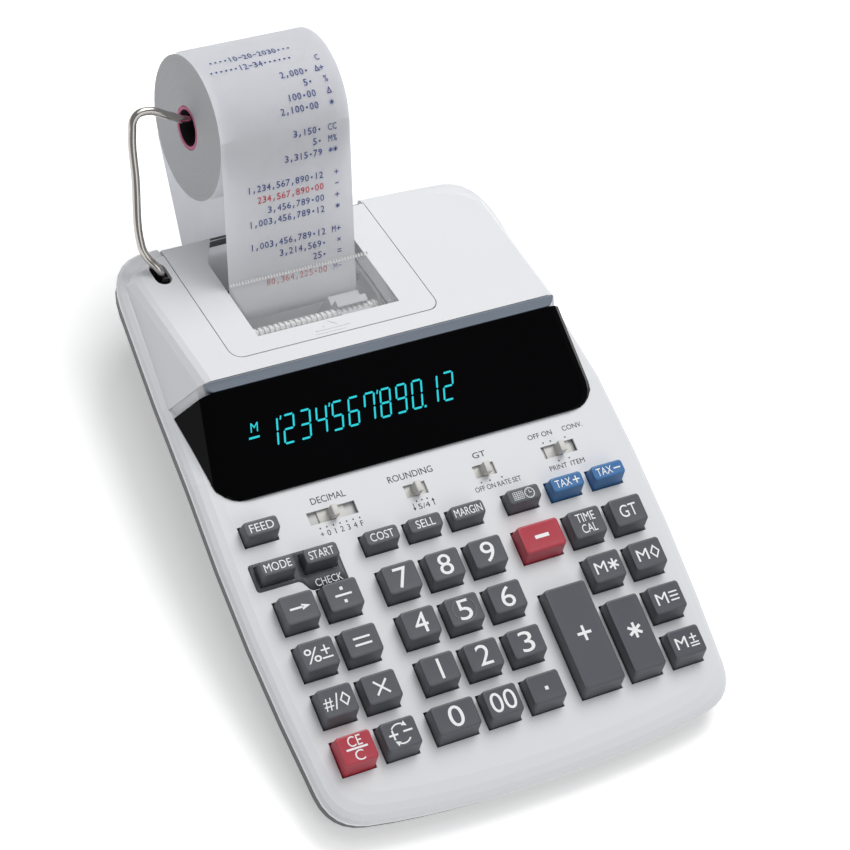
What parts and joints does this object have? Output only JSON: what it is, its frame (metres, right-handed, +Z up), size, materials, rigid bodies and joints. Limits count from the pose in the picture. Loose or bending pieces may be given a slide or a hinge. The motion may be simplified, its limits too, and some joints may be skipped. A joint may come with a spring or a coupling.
{
  "type": "desk printing calculator",
  "caption": "Desk printing calculator: sloping keyboard, slide switches, black display lens, lift-up printer cover and a paper roll on a bent wire arm.",
  "frame": {"origin": "under the middle of the whole object, on the table plane that the feet stand on", "axes": "+X to the right of the person at the keyboard, +Y away from that person, +Z up"},
  "size_m": [0.1928, 0.3142, 0.1164],
  "materials": {
    "case_light": "fine moulded texture",
    "case_dark": "fine moulded texture",
    "lens_black": "polished smoke lens",
    "trim_grey": "satin",
    "tube_glass": "polished",
    "board_green": "solder mask",
    "window_clear": "clear moulded plastic",
    "frame_steel": "pressed sheet",
    "platen_rubber": "ground",
    "rack_white": "moulded nylon",
    "carriage_grey": "moulded",
    "paper_white": "smooth till paper",
    "core_pink": "pink-edged core",
    "arm_chrome": "bright drawn wire",
    "foot_rubber": "moulded",
    "key_grey": "fine texture",
    "key_red": "fine texture",
    "key_blue": "fine texture",
    "switch_knob": "satin"
  },
  "bodies": {
    "case": {"upper_case": "case_light", "lower_case": "case_dark", "display_lens": "lens_black", "display_trim": "trim_grey", "display_tube": "tube_glass", "circuit_board": "board_green", "printer_frame": "frame_steel", "carriage_rack": "rack_white", "paper_strip": "paper_white", "foot_front": "foot_rubber", "foot_rear": "foot_rubber"},
    "cover": {"printer_cover": "case_light", "tear_window": "window_clear"},
    "arm": {"paper_arm": "arm_chrome"},
    "roll": {"paper_roll": "paper_white", "paper_core": "core_pink"},
    "platen": {"platen_roller": "platen_rubber"},
    "carriage": {"print_carriage": "carriage_grey"},
    "switch_decimal": {"switch_decimal": "switch_knob"},
    "switch_rounding": {"switch_rounding": "switch_knob"},
    "switch_total": {"switch_total": "switch_knob"},
    "switch_power": {"switch_power": "switch_knob"},
    "key_feed": {"key_feed": "key_grey"},
    "key_mode": {"key_mode": "key_grey"},
    "key_start": {"key_start": "key_grey"},
    "key_cost": {"key_cost": "key_grey"},
    "key_sell": {"key_sell": "key_grey"},
    "key_margin": {"key_margin": "key_grey"},
    "key_clock": {"key_clock": "key_grey"},
    "key_tax_plus": {"key_tax_plus": "key_blue"},
    "key_tax_minus": {"key_tax_minus": "key_blue"},
    "key_arrow": {"key_arrow": "key_grey"},
    "key_divide": {"key_divide": "key_grey"},
    "key_7": {"key_7": "key_grey"},
    "key_8": {"key_8": "key_grey"},
    "key_9": {"key_9": "key_grey"},
    "key_minus": {"key_minus": "key_red"},
    "key_time": {"key_time": "key_grey"},
    "key_gt": {"key_gt": "key_grey"},
    "key_percent": {"key_percent": "key_grey"},
    "key_equals": {"key_equals": "key_grey"},
    "key_4": {"key_4": "key_grey"},
    "key_5": {"key_5": "key_grey"},
    "key_6": {"key_6": "key_grey"},
    "key_m_star": {"key_m_star": "key_grey"},
    "key_m_diamond": {"key_m_diamond": "key_grey"},
    "key_hash": {"key_hash": "key_grey"},
    "key_multiply": {"key_multiply": "key_grey"},
    "key_1": {"key_1": "key_grey"},
    "key_2": {"key_2": "key_grey"},
    "key_3": {"key_3": "key_grey"},
    "key_m_equals": {"key_m_equals": "key_grey"},
    "key_clear": {"key_clear": "key_red"},
    "key_swap": {"key_swap": "key_grey"},
    "key_0": {"key_0": "key_grey"},
    "key_00": {"key_00": "key_grey"},
    "key_point": {"key_point": "key_grey"},
    "key_m_plus_minus": {"key_m_plus_minus": "key_grey"},
    "key_plus": {"key_plus": "key_grey"},
    "key_star": {"key_star": "key_grey"}
  },
  "joints": [
    {"name": "cover_hinge", "type": "hinge", "parent": "case", "child": "cover", "pos_m": [-0.016, 0.03275, 0.06014], "axis": [1, 0, 0], "range_deg": [0, 50]},
    {"name": "arm_fold", "type": "hinge", "parent": "case", "child": "arm", "pos_m": [-0.062, 0.08654, 0.04131], "axis": [1, 0, 0], "range_deg": [-20, 0], "deforming": ["paper_strip"]},
    {"name": "roll_spin", "type": "hinge", "parent": "arm", "child": "roll", "pos_m": [-0.0185, 0.12716, 0.08564], "axis": [1, 0, 0], "continuous": true},
    {"name": "platen_spin", "type": "hinge", "parent": "case", "child": "platen", "pos_m": [-0.0185, 0.06823, 0.04032], "axis": [1, 0, 0], "continuous": true},
    {"name": "carriage_slide", "type": "slide", "parent": "case", "child": "carriage", "axis": [1, 0, 0], "range_m": [-0.044, 0.0042]},
    {"name": "decimal_slide", "type": "slide", "parent": "case", "child": "switch_decimal", "axis": [1, 0, 0], "range_m": [-0.009, 0.009]},
    {"name": "rounding_slide", "type": "slide", "parent": "case", "child": "switch_rounding", "axis": [1, 0, 0], "range_m": [-0.0033, 0.0033]},
    {"name": "total_slide", "type": "slide", "parent": "case", "child": "switch_total", "axis": [1, 0, 0], "range_m": [-0.0032, 0.0032]},
    {"name": "power_slide", "type": "slide", "parent": "case", "child": "switch_power", "axis": [1, 0, 0], "range_m": [-0.0062, 0.0062]},
    {"name": "press_feed", "type": "slide", "parent": "case", "child": "key_feed", "axis": [0, 0.1736, -0.9848], "range_m": [0, 0.0025], "stiffness_N_per_m": 250, "springref_m": -0.0008},
    {"name": "press_mode", "type": "slide", "parent": "case", "child": "key_mode", "axis": [0, 0.1736, -0.9848], "range_m": [0, 0.0025], "stiffness_N_per_m": 250, "springref_m": -0.0008},
    {"name": "press_start", "type": "slide", "parent": "case", "child": "key_start", "axis": [0, 0.1736, -0.9848], "range_m": [0, 0.0025], "stiffness_N_per_m": 250, "springref_m": -0.0008},
    {"name": "press_cost", "type": "slide", "parent": "case", "child": "key_cost", "axis": [0, 0.1736, -0.9848], "range_m": [0, 0.0025], "stiffness_N_per_m": 250, "springref_m": -0.0008},
    {"name": "press_sell", "type": "slide", "parent": "case", "child": "key_sell", "axis": [0, 0.1736, -0.9848], "range_m": [0, 0.0025], "stiffness_N_per_m": 250, "springref_m": -0.0008},
    {"name": "press_margin", "type": "slide", "parent": "case", "child": "key_margin", "axis": [0, 0.1736, -0.9848], "range_m": [0, 0.0025], "stiffness_N_per_m": 250, "springref_m": -0.0008},
    {"name": "press_clock", "type": "slide", "parent": "case", "child": "key_clock", "axis": [0, 0.1736, -0.9848], "range_m": [0, 0.0025], "stiffness_N_per_m": 250, "springref_m": -0.0008},
    {"name": "press_tax_plus", "type": "slide", "parent": "case", "child": "key_tax_plus", "axis": [0, 0.1736, -0.9848], "range_m": [0, 0.0025], "stiffness_N_per_m": 250, "springref_m": -0.0008},
    {"name": "press_tax_minus", "type": "slide", "parent": "case", "child": "key_tax_minus", "axis": [0, 0.1736, -0.9848], "range_m": [0, 0.0025], "stiffness_N_per_m": 250, "springref_m": -0.0008},
    {"name": "press_arrow", "type": "slide", "parent": "case", "child": "key_arrow", "axis": [0, 0.1736, -0.9848], "range_m": [0, 0.0025], "stiffness_N_per_m": 250, "springref_m": -0.0008},
    {"name": "press_divide", "type": "slide", "parent": "case", "child": "key_divide", "axis": [0, 0.1736, -0.9848], "range_m": [0, 0.0025], "stiffness_N_per_m": 250, "springref_m": -0.0008},
    {"name": "press_7", "type": "slide", "parent": "case", "child": "key_7", "axis": [0, 0.1736, -0.9848], "range_m": [0, 0.0025], "stiffness_N_per_m": 250, "springref_m": -0.0008},
    {"name": "press_8", "type": "slide", "parent": "case", "child": "key_8", "axis": [0, 0.1736, -0.9848], "range_m": [0, 0.0025], "stiffness_N_per_m": 250, "springref_m": -0.0008},
    {"name": "press_9", "type": "slide", "parent": "case", "child": "key_9", "axis": [0, 0.1736, -0.9848], "range_m": [0, 0.0025], "stiffness_N_per_m": 250, "springref_m": -0.0008},
    {"name": "press_minus", "type": "slide", "parent": "case", "child": "key_minus", "axis": [0, 0.1736, -0.9848], "range_m": [0, 0.0025], "stiffness_N_per_m": 250, "springref_m": -0.0008},
    {"name": "press_time", "type": "slide", "parent": "case", "child": "key_time", "axis": [0, 0.1736, -0.9848], "range_m": [0, 0.0025], "stiffness_N_per_m": 250, "springref_m": -0.0008},
    {"name": "press_gt", "type": "slide", "parent": "case", "child": "key_gt", "axis": [0, 0.1736, -0.9848], "range_m": [0, 0.0025], "stiffness_N_per_m": 250, "springref_m": -0.0008},
    {"name": "press_percent", "type": "slide", "parent": "case", "child": "key_percent", "axis": [0, 0.1736, -0.9848], "range_m": [0, 0.0025], "stiffness_N_per_m": 250, "springref_m": -0.0008},
    {"name": "press_equals", "type": "slide", "parent": "case", "child": "key_equals", "axis": [0, 0.1736, -0.9848], "range_m": [0, 0.0025], "stiffness_N_per_m": 250, "springref_m": -0.0008},
    {"name": "press_4", "type": "slide", "parent": "case", "child": "key_4", "axis": [0, 0.1736, -0.9848], "range_m": [0, 0.0025], "stiffness_N_per_m": 250, "springref_m": -0.0008},
    {"name": "press_5", "type": "slide", "parent": "case", "child": "key_5", "axis": [0, 0.1736, -0.9848], "range_m": [0, 0.0025], "stiffness_N_per_m": 250, "springref_m": -0.0008},
    {"name": "press_6", "type": "slide", "parent": "case", "child": "key_6", "axis": [0, 0.1736, -0.9848], "range_m": [0, 0.0025], "stiffness_N_per_m": 250, "springref_m": -0.0008},
    {"name": "press_m_star", "type": "slide", "parent": "case", "child": "key_m_star", "axis": [0, 0.1736, -0.9848], "range_m": [0, 0.0025], "stiffness_N_per_m": 250, "springref_m": -0.0008},
    {"name": "press_m_diamond", "type": "slide", "parent": "case", "child": "key_m_diamond", "axis": [0, 0.1736, -0.9848], "range_m": [0, 0.0025], "stiffness_N_per_m": 250, "springref_m": -0.0008},
    {"name": "press_hash", "type": "slide", "parent": "case", "child": "key_hash", "axis": [0, 0.1736, -0.9848], "range_m": [0, 0.0025], "stiffness_N_per_m": 250, "springref_m": -0.0008},
    {"name": "press_multiply", "type": "slide", "parent": "case", "child": "key_multiply", "axis": [0, 0.1736, -0.9848], "range_m": [0, 0.0025], "stiffness_N_per_m": 250, "springref_m": -0.0008},
    {"name": "press_1", "type": "slide", "parent": "case", "child": "key_1", "axis": [0, 0.1736, -0.9848], "range_m": [0, 0.0025], "stiffness_N_per_m": 250, "springref_m": -0.0008},
    {"name": "press_2", "type": "slide", "parent": "case", "child": "key_2", "axis": [0, 0.1736, -0.9848], "range_m": [0, 0.0025], "stiffness_N_per_m": 250, "springref_m": -0.0008},
    {"name": "press_3", "type": "slide", "parent": "case", "child": "key_3", "axis": [0, 0.1736, -0.9848], "range_m": [0, 0.0025], "stiffness_N_per_m": 250, "springref_m": -0.0008},
    {"name": "press_m_equals", "type": "slide", "parent": "case", "child": "key_m_equals", "axis": [0, 0.1736, -0.9848], "range_m": [0, 0.0025], "stiffness_N_per_m": 250, "springref_m": -0.0008},
    {"name": "press_clear", "type": "slide", "parent": "case", "child": "key_clear", "axis": [0, 0.1736, -0.9848], "range_m": [0, 0.0025], "stiffness_N_per_m": 250, "springref_m": -0.0008},
    {"name": "press_swap", "type": "slide", "parent": "case", "child": "key_swap", "axis": [0, 0.1736, -0.9848], "range_m": [0, 0.0025], "stiffness_N_per_m": 250, "springref_m": -0.0008},
    {"name": "press_0", "type": "slide", "parent": "case", "child": "key_0", "axis": [0, 0.1736, -0.9848], "range_m": [0, 0.0025], "stiffness_N_per_m": 250, "springref_m": -0.0008},
    {"name": "press_00", "type": "slide", "parent": "case", "child": "key_00", "axis": [0, 0.1736, -0.9848], "range_m": [0, 0.0025], "stiffness_N_per_m": 250, "springref_m": -0.0008},
    {"name": "press_point", "type": "slide", "parent": "case", "child": "key_point", "axis": [0, 0.1736, -0.9848], "range_m": [0, 0.0025], "stiffness_N_per_m": 250, "springref_m": -0.0008},
    {"name": "press_m_plus_minus", "type": "slide", "parent": "case", "child": "key_m_plus_minus", "axis": [0, 0.1736, -0.9848], "range_m": [0, 0.0025], "stiffness_N_per_m": 250, "springref_m": -0.0008},
    {"name": "press_plus", "type": "slide", "parent": "case", "child": "key_plus", "axis": [0, 0.1736, -0.9848], "range_m": [0, 0.0025], "stiffness_N_per_m": 250, "springref_m": -0.0008},
    {"name": "press_star", "type": "slide", "parent": "case", "child": "key_star", "axis": [0, 0.1736, -0.9848], "range_m": [0, 0.0025], "stiffness_N_per_m": 250, "springref_m": -0.0008}
  ]
}
